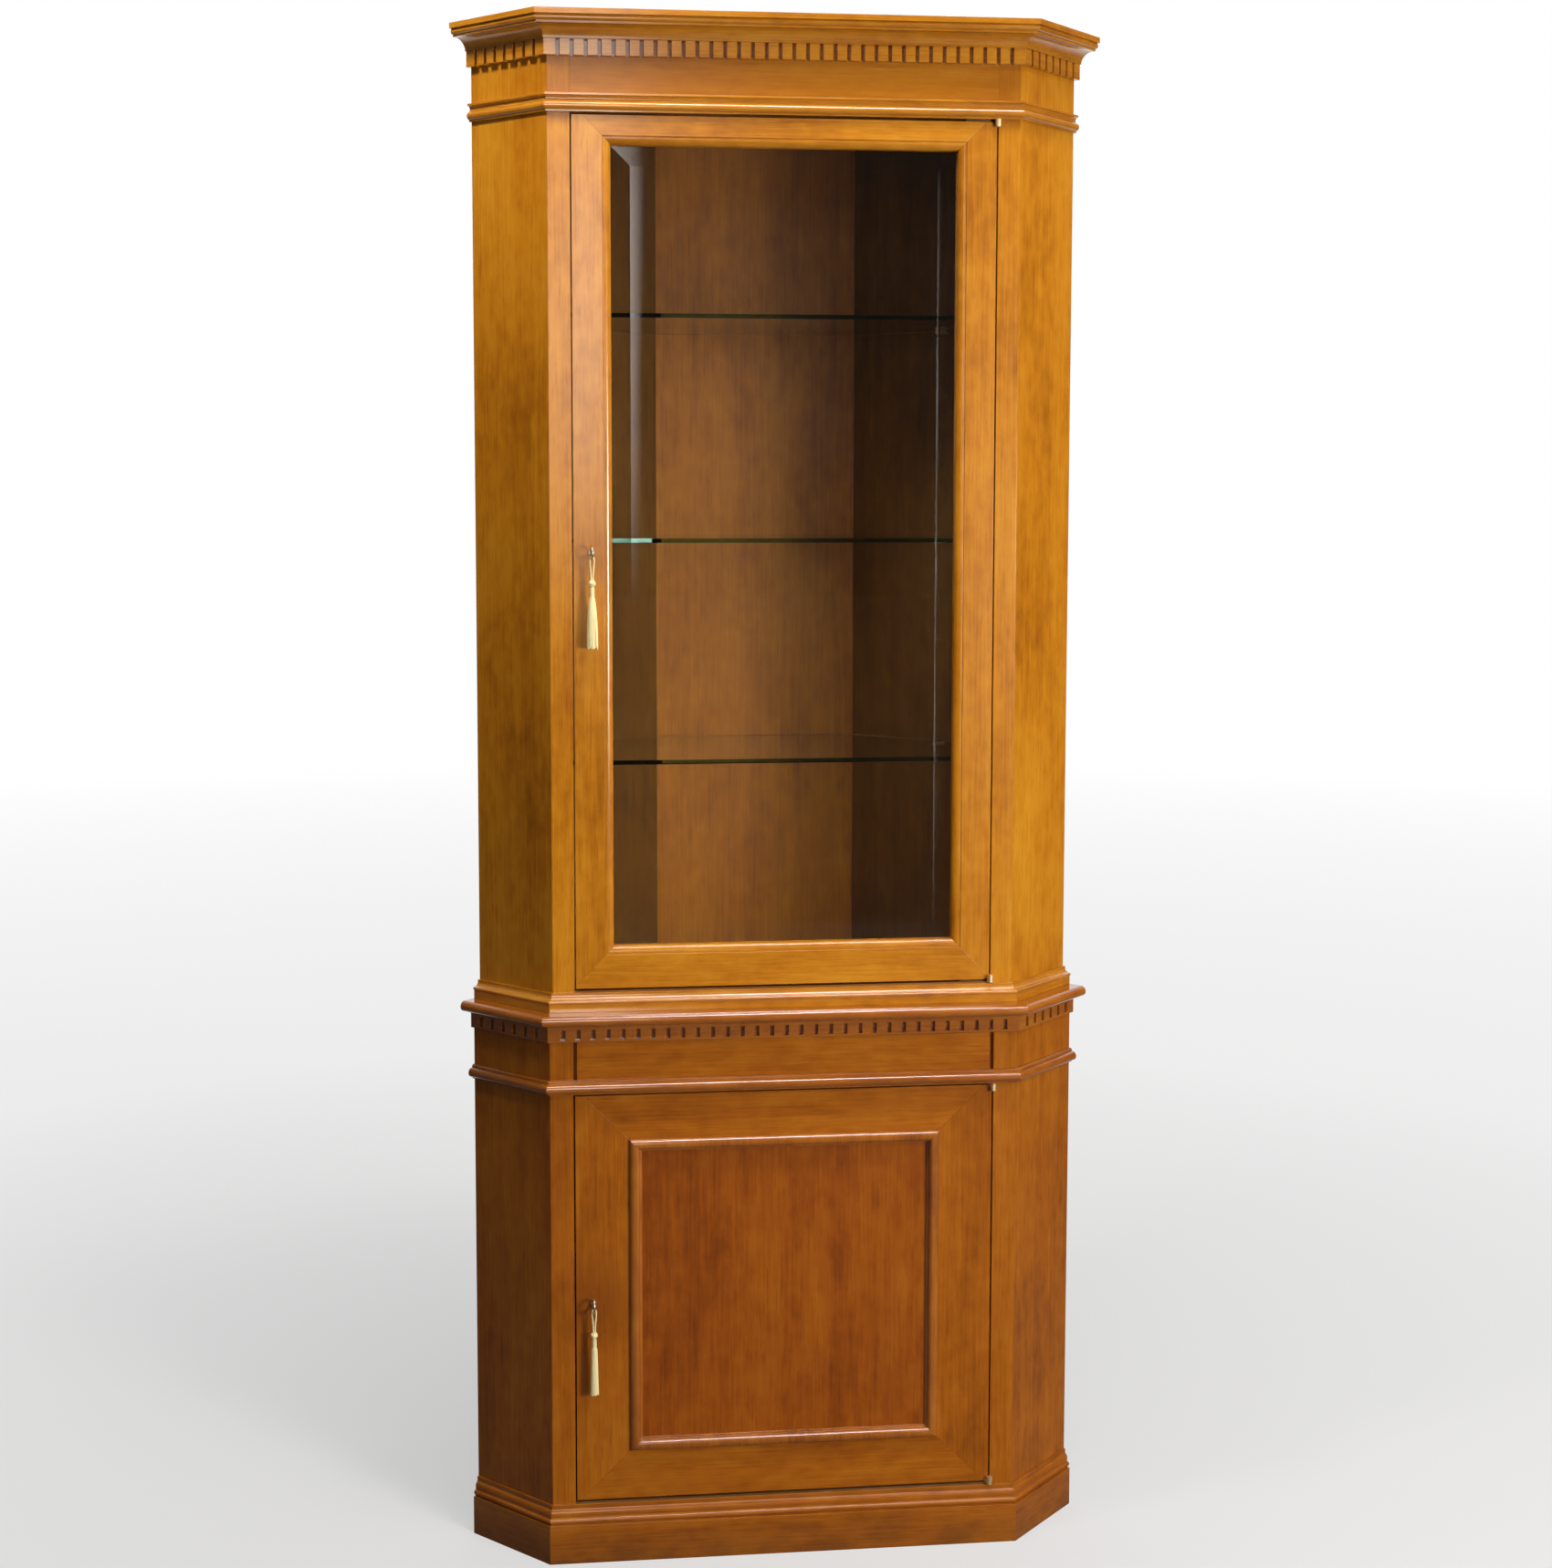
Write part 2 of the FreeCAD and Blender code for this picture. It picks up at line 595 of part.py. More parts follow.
# Rim lock, key and tassel of one door
def lock_set(key_x, key_z, half_width, y_face):
    """Lock case, bolt, key, tassel loop and the hole that the key needs through the stile."""
    into_door = vec(0, 1, 0)
    case_left = -half_width + lock_case_edge_margin
    case_front = y_face + door_thickness
    case_back = case_front + lock_case_depth
    case_low = key_z - lock_case_height / 2
    case_high = key_z + lock_case_height / 2
    wall = lock_case_wall
    shell = block(case_left, case_left + lock_case_width, case_front, case_back, case_low, case_high)
    hollow = block(case_left + wall, case_left + lock_case_width - wall, case_front + wall,
                   case_back - wall, case_low + wall, case_high - wall)
    bolt_low = key_z + bolt_rise
    bolt_front = case_front + (lock_case_depth - bolt_thickness) / 2
    bolt = block(case_left, case_left + bolt_length, bolt_front, bolt_front + bolt_thickness,
                 bolt_low, bolt_low + bolt_height)
    mouth = block(case_left - overrun, case_left + lock_case_width / 2, bolt_front - bolt_clearance,
                  bolt_front + bolt_thickness + bolt_clearance, bolt_low - bolt_clearance,
                  bolt_low + bolt_height + bolt_clearance)
    key_bore = rod(key_shank_radius + key_running_clearance, vec(key_x, case_front - wall, key_z),
                   into_door, lock_case_depth / 2)
    case = shell.cut(hollow).cut(mouth).cut(key_bore)

    stile_bore = rod(key_shank_radius + keyhole_clearance, vec(key_x, y_face - overrun, key_z),
                     into_door, overrun + overrun)

    shank_start = y_face - key_stand_out
    shank_end = case_back - wall - key_collar_gap
    key = rod(key_shank_radius, vec(key_x, shank_start, key_z), into_door, shank_end - shank_start)
    collar_start = y_face - key_collar_gap - key_collar_length
    key = key.fuse(rod(key_collar_radius, vec(key_x, collar_start, key_z), into_door,
                       key_collar_length))
    bit_high = key_z - key_shank_radius / 2
    key = key.fuse(block(key_x - key_bit_thickness / 2, key_x + key_bit_thickness / 2,
                         shank_end - key_bit_length, shank_end, key_z - key_bit_reach, bit_high))
    bow_centre = vec(key_x, shank_start - bow_radius, key_z)
    key = key.fuse(Part.makeTorus(bow_radius, bow_wire_radius, bow_centre, vec(1, 0, 0)))

    hang = bow_centre - vec(0, 0, bow_radius)
    loop_radius = bow_wire_radius + tassel_cord_clearance + tassel_cord_diameter / 2
    cord_radius = tassel_cord_diameter / 2
    bend = Part.makeTorus(loop_radius, cord_radius, hang, vec(0, 1, 0), 0, 360, 180)
    bend.rotate(hang, vec(0, 1, 0), -90)
    legs = []
    for side in (LEFT, RIGHT):
        foot = hang + vec(side * loop_radius, 0, -tassel_cord_drop)
        legs.append(rod(cord_radius, foot, vec(0, 0, 1), tassel_cord_drop))
    cord_length = 2 * tassel_cord_drop + math.pi * loop_radius
    cord_volume = sum(piece.Volume for piece in [bend] + legs)
    print("tassel cord length", round(cord_length, 1), "bend radius", round(loop_radius, 2),
          "volume share", round(cord_volume / (math.pi * cord_radius ** 2 * cord_length), 4))
    knot_centre = hang - vec(0, 0, tassel_cord_drop + tassel_knot_radius / 2)
    knot = Part.makeSphere(tassel_knot_radius, knot_centre, vec(0, 1, 0))
    loop = bend.multiFuse(legs + [knot]).removeSplitter()
    return {"lock": case, "bolt": bolt, "key": key.removeSplitter(), "loop": loop,
            "stile_bore": stile_bore, "knot_centre": knot_centre, "hang": hang}


def tassel(knot_centre, skirt_radius, skirt_length):
    """Cup under the knot, neck and hanging skirt of yarn, as one turned solid."""
    seat_radius = tassel_knot_radius + tassel_cup_clearance
    rim_drop = math.sqrt(seat_radius ** 2 - tassel_cup_radius ** 2)
    seat_middle = math.radians(67.5)
    neck_end = tassel_knot_radius + tassel_neck_length
    skirt_end = neck_end + skirt_length
    fringe_drop = skirt_end - tassel_hem_height
    shoulder = neck_end + tassel_neck_length / 2
    steps = [(0, seat_radius),
             (seat_radius * math.cos(seat_middle), seat_radius * math.sin(seat_middle),
              tassel_cup_radius, rim_drop),
             (tassel_cup_radius, tassel_knot_radius + tassel_neck_length / 4),
             (tassel_neck_radius, tassel_knot_radius + tassel_neck_length / 2),
             (tassel_neck_radius, neck_end),
             (skirt_radius * tassel_shoulder_share, shoulder),
             (skirt_radius * tassel_belly_share, (shoulder + fringe_drop) / 2, skirt_radius,
              fringe_drop),
             (skirt_radius * tassel_hem_share, skirt_end), (0, skirt_end)]

    def place(out, drop):
        return knot_centre + vec(out, 0, -drop)

    return outline_face(steps, place).revolve(knot_centre, vec(0, 0, 1), 360)


# Glazed door
hinge_reach = hinge_eye_radius + hinge_eye_stand_off
glazed_axis = vec(glazed_half + door_side_gap / 2, front_y - hinge_reach)
glazed_top_hinge = hinge_pair(glazed_axis, glazed_door_top, case_head)
glazed_bottom_hinge = hinge_pair(glazed_axis, glazed_door_bottom, case_floor_top)
glazed_key_x = -glazed_half + lock_backset
glazed_key_z = glazed_door_bottom + (glazed_door_top - glazed_door_bottom) * glazed_key_height_share
glazed_lock = lock_set(glazed_key_x, glazed_key_z, glazed_half, front_y)
glazed_members = frame_members(glazed_half, glazed_door_bottom, glazed_door_top, glazed_stile_width,
                               glazed_top_rail_width, glazed_bottom_rail_width, front_y,
                               stuck_profile)
for word, solid in glazed_members.items():
    for cutter in (glazed_top_hinge[2], glazed_bottom_hinge[2], glazed_lock["stile_bore"]):
        solid = solid.cut(cutter)
    save("glazed_door_" + word, solid)

sight_half = glazed_half - glazed_stile_width
sight_bottom = glazed_door_bottom + glazed_bottom_rail_width
sight_top = glazed_door_top - glazed_top_rail_width


def upright_rectangle(margin, y):
    """Closed outline round the glass opening, grown by a margin."""
    corners = [vec(-sight_half - margin, y, sight_bottom - margin),
               vec(sight_half + margin, y, sight_bottom - margin),
               vec(sight_half + margin, y, sight_top + margin),
               vec(-sight_half - margin, y, sight_top + margin)]
    return Part.makePolygon(corners + corners[:1])


glass_margin = rebate_width - glass_side_clearance
glass_front = front_y + glass_seat_depth
bevel_foot = glass_front + glass_bevel_depth
glass_crown = Part.makeLoft([upright_rectangle(glass_margin, bevel_foot),
                             upright_rectangle(-glass_bevel_width, glass_front)], True, True)
glass_back = Part.Face(upright_rectangle(glass_margin, bevel_foot)).extrude(
    vec(0, glass_thickness - glass_bevel_depth, 0))
save("door_glass", glass_crown.fuse(glass_back).removeSplitter())
bead_members = frame_members(glazed_half, glazed_door_bottom, glazed_door_top, glazed_stile_width,
                             glazed_top_rail_width, glazed_bottom_rail_width, front_y,
                             glazing_bead_profile)
save("glazing_beads", *bead_members.values())
save("glazed_door_hinge_plates", glazed_top_hinge[0], glazed_bottom_hinge[0])

# Panel door
panel_axis = vec(panel_half + door_side_gap / 2, base_front_y - hinge_reach)
panel_top_hinge = hinge_pair(panel_axis, panel_door_top, base_head)
panel_bottom_hinge = hinge_pair(panel_axis, panel_door_bottom, base_floor_top)
panel_key_x = -panel_half + lock_backset
panel_key_z = panel_door_bottom + (panel_door_top - panel_door_bottom) * panel_key_height_share
panel_lock = lock_set(panel_key_x, panel_key_z, panel_half, base_front_y)
panel_members = frame_members(panel_half, panel_door_bottom, panel_door_top, panel_stile_width,
                              panel_top_rail_width, panel_bottom_rail_width, base_front_y,
                              grooved_profile)
for word, solid in panel_members.items():
    for cutter in (panel_top_hinge[2], panel_bottom_hinge[2], panel_lock["stile_bore"]):
        solid = solid.cut(cutter)
    save("panel_door_" + word, solid)
panel_margin = panel_groove_depth - panel_side_clearance
panel_reach = panel_half - panel_stile_width + panel_margin
save("panel_door_panel", block(-panel_reach, panel_reach, base_front_y + panel_recess,
                               base_front_y + panel_recess + panel_thickness,
                               panel_door_bottom + panel_bottom_rail_width - panel_margin,
                               panel_door_top - panel_top_rail_width + panel_margin))
bolection_members = frame_members(panel_half, panel_door_bottom, panel_door_top,
                                  panel_stile_width, panel_top_rail_width,
                                  panel_bottom_rail_width, base_front_y, bolection_profile)
save("panel_door_bolection", *bolection_members.values())
save("panel_door_hinge_plates", panel_top_hinge[0], panel_bottom_hinge[0])
save("cabinet_hinge_plates", glazed_top_hinge[1], glazed_bottom_hinge[1],
     panel_top_hinge[1], panel_bottom_hinge[1])

# Locks, keys and tassels of both doors
glazed_skirt = (glazed_tassel_skirt_radius, glazed_tassel_skirt_length)
panel_skirt = (panel_tassel_skirt_radius, panel_tassel_skirt_length)
for prefix, lock, skirt in (("glazed_door", glazed_lock, glazed_skirt),
                            ("panel_door", panel_lock, panel_skirt)):
    save(prefix + "_lock_case", lock["lock"])
    save(prefix + "_lock_bolt", lock["bolt"])
    save(prefix + "_key", lock["key"])
    save(prefix + "_tassel_loop", lock["loop"])
    save(prefix + "_tassel", tassel(lock["knot_centre"], *skirt))
    print(prefix, "loop hinge", [round(value, 3) for value in lock["hang"]],
          "knot", [round(value, 3) for value in lock["knot_centre"]])
print("door axes", [round(value, 3) for value in glazed_axis], [round(value, 3) for value in panel_axis])
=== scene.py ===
import math
import random
import bpy
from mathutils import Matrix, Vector


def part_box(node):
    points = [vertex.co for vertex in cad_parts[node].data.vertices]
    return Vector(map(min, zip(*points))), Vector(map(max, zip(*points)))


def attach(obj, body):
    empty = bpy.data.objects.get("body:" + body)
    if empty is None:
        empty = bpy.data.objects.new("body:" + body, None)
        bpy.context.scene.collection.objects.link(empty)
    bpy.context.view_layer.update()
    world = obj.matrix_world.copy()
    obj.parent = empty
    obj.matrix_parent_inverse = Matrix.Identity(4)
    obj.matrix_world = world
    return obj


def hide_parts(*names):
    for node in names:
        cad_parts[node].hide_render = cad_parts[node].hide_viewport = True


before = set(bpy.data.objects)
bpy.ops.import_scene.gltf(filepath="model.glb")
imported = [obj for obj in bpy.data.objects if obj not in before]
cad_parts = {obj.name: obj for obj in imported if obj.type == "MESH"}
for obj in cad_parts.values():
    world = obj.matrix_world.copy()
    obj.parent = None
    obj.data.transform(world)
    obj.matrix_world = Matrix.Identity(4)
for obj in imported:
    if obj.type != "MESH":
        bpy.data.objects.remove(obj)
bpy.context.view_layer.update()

bpy.ops.object.select_all(action="DESELECT")

# Plinth: three boards round the foot, mitred at the corners, with a moulded cap planted above them.
# Golden-brown wood under satin lacquer, the fibres along each length; the foot is scuffed and darker.
base_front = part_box("base_frieze_rail")[0].y
base_corner = (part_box("base_stile_right")[1].x, base_front)
# The base's tones are darker and redder than the case's: partly a darker wood, partly painted shade for
# the dimmer light on the lower stage.
base_tones = ((0.186, 0.043, 0.0011), (0.345, 0.095, 0.0028), (0.441, 0.146, 0.0069))


def add_node(tree, kind, feeds=None, **settings):
    node = tree.nodes.new("ShaderNode" + kind)
    for key, value in settings.items():
        setattr(node, key, value)
    for socket, value in (feeds or {}).items():
        if isinstance(value, bpy.types.NodeSocket):
            tree.links.new(value, node.inputs[socket])
        else:
            node.inputs[socket].default_value = value
    return node


def sum_of(tree, operation, first, second=0.0):
    return add_node(tree, "Math", {0: first, 1: second}, operation=operation).outputs[0]


def ramp(tree, factor, stops):
    node = add_node(tree, "ValToRGB", {0: factor})
    points = node.color_ramp.elements
    points[0].position, points[1].position = stops[0][0], stops[-1][0]
    points[0].color, points[1].color = (*stops[0][1], 1), (*stops[-1][1], 1)
    for place, colour in stops[1:-1]:
        points.new(place).color = (*colour, 1)
    return node.outputs["Color"]


def colour_mix(tree, factor, first, second):
    node = add_node(tree, "Mix", {0: factor, 6: first, 7: second}, data_type="RGBA")
    return node.outputs[2]


def spread(tree, value, low, high):
    node = add_node(tree, "MapRange", {"Value": value, "To Min": low, "To Max": high})
    return node.outputs["Result"]


def fibre_place(tree, grain, corner):
    """Two places across the fibres and one along them, for upright, level or mitred moulding grain."""
    parts = add_node(tree, "SeparateXYZ", {0: add_node(tree, "TexCoord").outputs["Object"]})
    x, y, z = parts.outputs
    if grain == "upright":
        return x, y, z
    if grain == "level":
        return z, y, x
    half_width, front = corner
    aside = sum_of(tree, "SUBTRACT", sum_of(tree, "ABSOLUTE", x), half_width)
    back = sum_of(tree, "SUBTRACT", y, front)
    cant_out = sum_of(tree, "MULTIPLY", sum_of(tree, "SUBTRACT", aside, back), math.sqrt(0.5))
    front_out = sum_of(tree, "MULTIPLY", back, -1.0)
    on_cant = sum_of(tree, "GREATER_THAN", cant_out, front_out)
    cant_along = sum_of(tree, "MULTIPLY", sum_of(tree, "ADD", aside, back), math.sqrt(0.5))
    cant_along = sum_of(tree, "ADD", cant_along, sum_of(tree, "SIGN", x))
    along = add_node(tree, "Mix", {0: on_cant, 2: x, 3: cant_along}).outputs[0]
    return z, sum_of(tree, "MAXIMUM", cant_out, front_out), along


def wood_finish(name, grain, tones, corner=None, sheen=(0.17, 0.28), coat=0.14, seed=0.0, scuffed=False,
                handled=None, painted_shade_above=None):
    """Lacquered wood: soft growth streaks, fine fibres, open pores and cloudy stain, in three tones.

    Scuffed wood is dark at the floor, and handled wood round a place where hands reach for a key.
    Above a given height the wood is darkened, a painted shade for the top of the case. Scales are
    across and along the fibres."""
    tone_stops = (0.345, 0.50, 0.64)
    streak_scales = (34.0, 1.9)
    fibre_scales = (380.0, 9.0)
    pore_scales = (760.0, 26.0)
    cloud_scales = (6.5, 3.4)
    mottle_scales = (62.0, 34.0)
    worn_scales = (40.0, 18.0)
    scuff_height = 0.05
    scuff_colour = (0.075, 0.030, 0.009)
    painted_shade_fade = 0.02
    touch_near, touch_far = 0.012, 0.075
    arris_radius = 0.0012
    grain_relief = 0.0006
    material = bpy.data.materials.new(name)
    material.use_nodes = True
    tree = material.node_tree
    surface = tree.nodes["Principled BSDF"]
    across, depth, along = fibre_place(tree, grain, corner)
    along = sum_of(tree, "ADD", along, seed)
    place = add_node(tree, "CombineXYZ", {0: across, 1: depth, 2: along}).outputs[0]
    spot = add_node(tree, "TexCoord").outputs["Object"]

    def noise(scales, detail, **feeds):
        across_scale, along_scale = scales
        scale = (across_scale, across_scale, along_scale)
        vector = add_node(tree, "VectorMath", {0: place, 1: scale}, operation="MULTIPLY").outputs[0]
        return add_node(tree, "TexNoise", {"Vector": vector, "Scale": 1.0, "Detail": detail, **feeds})

    streaks = noise(streak_scales, 3.0, Distortion=0.7)
    fibres = noise(fibre_scales, 4.0, Roughness=0.62)
    pores = noise(pore_scales, 2.0)
    clouds = noise(cloud_scales, 3.0, Distortion=0.4)
    mottle = noise(mottle_scales, 2.0)
    tone = 0.0
    for layer, share in ((streaks, 0.20), (fibres, 0.26), (clouds, 0.34), (mottle, 0.20)):
        tone = add_node(tree, "Math", {0: layer.outputs["Fac"], 1: share, 2: tone},
                        operation="MULTIPLY_ADD").outputs[0]
    dark, middle, light = tones
    colour = ramp(tree, tone, tuple(zip(tone_stops, (dark, middle, light))))
    pore_mask = add_node(tree, "MapRange", {"Value": pores.outputs["Fac"], "From Min": 0.58,
                                            "From Max": 0.72, "To Max": 0.45}).outputs["Result"]
    colour = colour_mix(tree, pore_mask, colour, (*dark, 1))
    if scuffed or painted_shade_above:
        height = add_node(tree, "SeparateXYZ", {0: spot}).outputs[2]
    if scuffed:
        worn = noise(worn_scales, 4.0)
        near_floor = add_node(tree, "MapRange", {"Value": height, "From Max": scuff_height,
                                                 "To Min": 0.75, "To Max": 0.0}).outputs[0]
        mark = sum_of(tree, "MULTIPLY", near_floor, spread(tree, worn.outputs["Fac"], -0.3, 1.3))
        mark = add_node(tree, "Clamp", {0: mark}).outputs[0]
        colour = colour_mix(tree, mark, colour, (*scuff_colour, 1))
    # Above the given height the colour is mixed toward the dark tone: painted shade for the top of the
    # case under the cornice.
    if painted_shade_above:
        painted_top_shade = add_node(tree, "MapRange", {"Value": height, "From Min": painted_shade_above - painted_shade_fade,
                                               "From Max": painted_shade_above, "To Max": 0.55}).outputs[0]
        colour = colour_mix(tree, painted_top_shade, colour, (*dark, 1))
    if handled:
        reach = add_node(tree, "VectorMath", {0: spot, 1: handled}, operation="DISTANCE")
        touched = add_node(tree, "MapRange", {"Value": reach.outputs["Value"], "From Min": touch_near,
                                              "From Max": touch_far, "To Min": 0.55,
                                              "To Max": 0.0}).outputs["Result"]
        touched = sum_of(tree, "MULTIPLY", touched, spread(tree, mottle.outputs["Fac"], 0.3, 1.5))
        colour = colour_mix(tree, touched, colour, (*dark, 1))
    tree.links.new(colour, surface.inputs["Base Color"])
    tree.links.new(spread(tree, fibres.outputs["Fac"], *sheen), surface.inputs["Roughness"])
    surface.inputs["Coat Weight"].default_value = coat
    surface.inputs["Coat Roughness"].default_value = 0.10
    surface.inputs["Specular IOR Level"].default_value = min(0.65, 0.20 + coat)
    relief = sum_of(tree, "SUBTRACT", fibres.outputs["Fac"], pore_mask)
    arris = add_node(tree, "Bevel", {"Radius": arris_radius}, samples=4)
    bump = add_node(tree, "Bump", {"Strength": 0.10, "Distance": grain_relief, "Height": relief,
                                   "Normal": arris.outputs[0]})
    tree.links.new(bump.outputs[0], surface.inputs["Normal"])
    return material


def dress(material, *names):
    for name in names:
        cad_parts[name].data.materials.clear()
        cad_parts[name].data.materials.append(material)


dress(wood_finish("plinth_wood", "moulding", base_tones, base_corner, coat=0.25, seed=0.7,
                  scuffed=True),
      "plinth_boards", "plinth_cap")

# Base carcass: canted side boards, face stiles and the frieze rail between them, glued and lacquered.
# Solid wood with upright fibres in the sides and stiles and level fibres in the rail.
dress(wood_finish("base_side_wood", "upright", base_tones, seed=1.3),
      "base_side_left", "base_side_right")
dress(wood_finish("base_stile_wood", "upright", base_tones, seed=2.1),
      "base_stile_left", "base_stile_right")
dress(wood_finish("base_frieze_wood", "level", base_tones, seed=0.4), "base_frieze_rail")

# Base mouldings: astragal, dentil strip and waist moulding, in long lengths mitred at the corners.
# The same wood with its fibres along each length, rubbed to a brighter polish than the boards.
polish = (0.12, 0.22)
dress(wood_finish("base_moulding_wood", "moulding", base_tones, base_corner, polish, 0.9, seed=3.2),
      "base_astragal", "base_dentils", "waist_moulding")

# Inside of the base: floor, top, inner shelf and three back panels of stained board.
# Thin matt stain without lacquer, let into the carcass out of sight.
inner_tones = ((0.062, 0.023, 0.0055), (0.131, 0.057, 0.0138), (0.186, 0.090, 0.0276))
dress(wood_finish("base_back_board", "upright", inner_tones, sheen=(0.55, 0.70), coat=0.0, seed=0.9),
      "base_back_left", "base_back_right", "base_back_centre")
dress(wood_finish("base_inner_board", "level", inner_tones, sheen=(0.50, 0.66), coat=0.0, seed=1.9),
      "base_floor", "base_top", "base_shelf")

# Upper case: canted side boards, face stiles and the frieze rail over the door.
# Solid honey-coloured wood under satin lacquer, upright fibres in the sides and stiles.
case_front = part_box("case_frieze_rail")[0].y
case_corner = (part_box("case_stile_right")[1].x, case_front)
case_tones = ((0.269, 0.077, 0.0023), (0.490, 0.176, 0.0062), (0.593, 0.252, 0.0145))
frieze_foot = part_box("case_frieze_rail")[0].z
dress(wood_finish("case_side_wood", "upright", case_tones, seed=4.4),
      "case_side_left", "case_side_right")
# Above the frieze's foot the stiles and the frieze rail are darkened: painted shade under the cornice.
dress(wood_finish("case_stile_wood", "upright", case_tones, seed=5.5, painted_shade_above=frieze_foot),
      "case_stile_left", "case_stile_right")
dress(wood_finish("case_frieze_wood", "level", case_tones, seed=2.7, painted_shade_above=frieze_foot),
      "case_frieze_rail")

# Case mouldings: foot moulding, astragal over the door, dentil strip and cornice, all mitred.
# The case's honey-coloured wood with its fibres along each length.
dress(wood_finish("case_moulding_wood", "moulding", case_tones, case_corner, polish, 0.9, seed=6.1),
      "case_foot_moulding", "case_astragal", "cornice_dentils", "cornice_moulding")

# Inside of the case: floor, top and three veneered back panels in grooves of the sides.
# Brown veneer with upright fibres, rubbed to a soft sheen; the two wall panels are painted darker, a
# painted shade on the inner walls.
case_inner_tones = ((0.103, 0.028, 0.0010), (0.190, 0.058, 0.0021), (0.248, 0.090, 0.0048))
# The wall panels' tones are the veneer's tones darkened: painted shade on the inner walls.
case_wall_shaded_tones = ((0.036, 0.012, 0.0015), (0.068, 0.025, 0.0031), (0.097, 0.039, 0.0062))
veneer_sheen = (0.40, 0.52)
floor_sheen = (0.38, 0.50)
dress(wood_finish("case_back_veneer", "upright", case_inner_tones, sheen=veneer_sheen, coat=0.0,
                  seed=3.9),
      "case_back_centre")
dress(wood_finish("case_wall_shaded_veneer", "upright", case_wall_shaded_tones, sheen=veneer_sheen, coat=0.0,
                  seed=0.2),
      "case_back_left", "case_back_right")
dress(wood_finish("case_floor_board", "level", case_inner_tones, sheen=floor_sheen, coat=0.1,
                  seed=4.8),
      "case_floor", "case_top")

# Glass shelves: three plates of float glass with ground edges, lying on pegs in the sides and the back.
# Clear glass that looks green along its edges, with a little dust and rubbing on its faces.
glass_edge = (0.30, 0.56, 0.46)
shelf_tint = (0.97, 0.99, 0.98)
pane_tint = (0.97, 0.985, 0.975)
shadow_tint = (0.93, 0.96, 0.94)
glass_ior = 1.45


def clear_glass(name, edge_colour):
    """Glass that lets the lamps through; a plate's upright edges are tinted."""
    material = bpy.data.materials.new(name)
    material.use_nodes = True
    tree = material.node_tree
    surface = tree.nodes["Principled BSDF"]
    surface.inputs["Transmission Weight"].default_value = 1.0
    surface.inputs["IOR"].default_value = glass_ior
    place = add_node(tree, "TexCoord").outputs["Object"]
    rubbing = add_node(tree, "TexNoise", {"Vector": place, "Scale": 9.0, "Detail": 4.0})
    tree.links.new(spread(tree, rubbing.outputs["Fac"], 0.0, 0.03), surface.inputs["Roughness"])
    if edge_colour:
        facing = add_node(tree, "SeparateXYZ", {0: add_node(tree, "NewGeometry").outputs["Normal"]})
        on_edge = sum_of(tree, "LESS_THAN", sum_of(tree, "ABSOLUTE", facing.outputs[2]), 0.5)
        tint = colour_mix(tree, on_edge, (*shelf_tint, 1), (*edge_colour, 1))
        tree.links.new(tint, surface.inputs["Base Color"])
    else:
        surface.inputs["Base Color"].default_value = (*pane_tint, 1)
    waves = add_node(tree, "TexNoise", {"Vector": place, "Scale": 6.0, "Detail": 1.0})
    bump = add_node(tree, "Bump", {"Strength": 0.02, "Distance": 0.002, "Height": waves.outputs["Fac"]})
    tree.links.new(bump.outputs[0], surface.inputs["Normal"])
    through = add_node(tree, "BsdfTransparent", {"Color": (*shadow_tint, 1)})
    shadow_ray = add_node(tree, "LightPath").outputs["Is Shadow Ray"]
    both = add_node(tree, "MixShader", {0: shadow_ray, 1: surface.outputs[0], 2: through.outputs[0]})
    tree.links.new(both.outputs[0], tree.nodes["Material Output"].inputs["Surface"])
    return material


dress(clear_glass("shelf_glass", glass_edge),
      "glass_shelf_low", "glass_shelf_middle", "glass_shelf_high")

# Shelf pegs: short turned brass pins pushed into bored holes, four under each shelf.
# Bright brass, dulled in patches by handling.
brass_bright = (0.780, 0.560, 0.240)
brass_dull = (0.420, 0.270, 0.100)
brush_scale = (90.0, 2600.0, 2600.0)
patch_scale = 160.0


def metal_finish(name, bright, dull, roughness, brushed=0.0):
    """Polished or brushed metal with dull patches."""
    material = bpy.data.materials.new(name)
    material.use_nodes = True
    tree = material.node_tree
    surface = tree.nodes["Principled BSDF"]
    surface.inputs["Metallic"].default_value = 1.0
    place = add_node(tree, "TexCoord").outputs["Object"]
    patches = add_node(tree, "TexNoise", {"Vector": place, "Scale": patch_scale, "Detail": 5.0,
                                          "Roughness": 0.6})
    brushing = add_node(tree, "VectorMath", {0: place, 1: brush_scale}, operation="MULTIPLY").outputs[0]
    lines = add_node(tree, "TexNoise", {"Vector": brushing, "Scale": 1.0, "Detail": 2.0})
    tarnish = add_node(tree, "Clamp", {0: spread(tree, patches.outputs["Fac"], -1.1, 1.6)}).outputs[0]
    colour = colour_mix(tree, tarnish, (*bright, 1), (*dull, 1))
    tree.links.new(colour, surface.inputs["Base Color"])
    tree.links.new(spread(tree, patches.outputs["Fac"], *roughness), surface.inputs["Roughness"])
    bump = add_node(tree, "Bump", {"Strength": 0.03 + brushed, "Distance": 0.0002,
                                   "Height": lines.outputs["Fac"]})
    tree.links.new(bump.outputs[0], surface.inputs["Normal"])
    return material


dress(metal_finish("peg_brass", brass_bright, brass_dull, (0.16, 0.42)), "shelf_pegs")

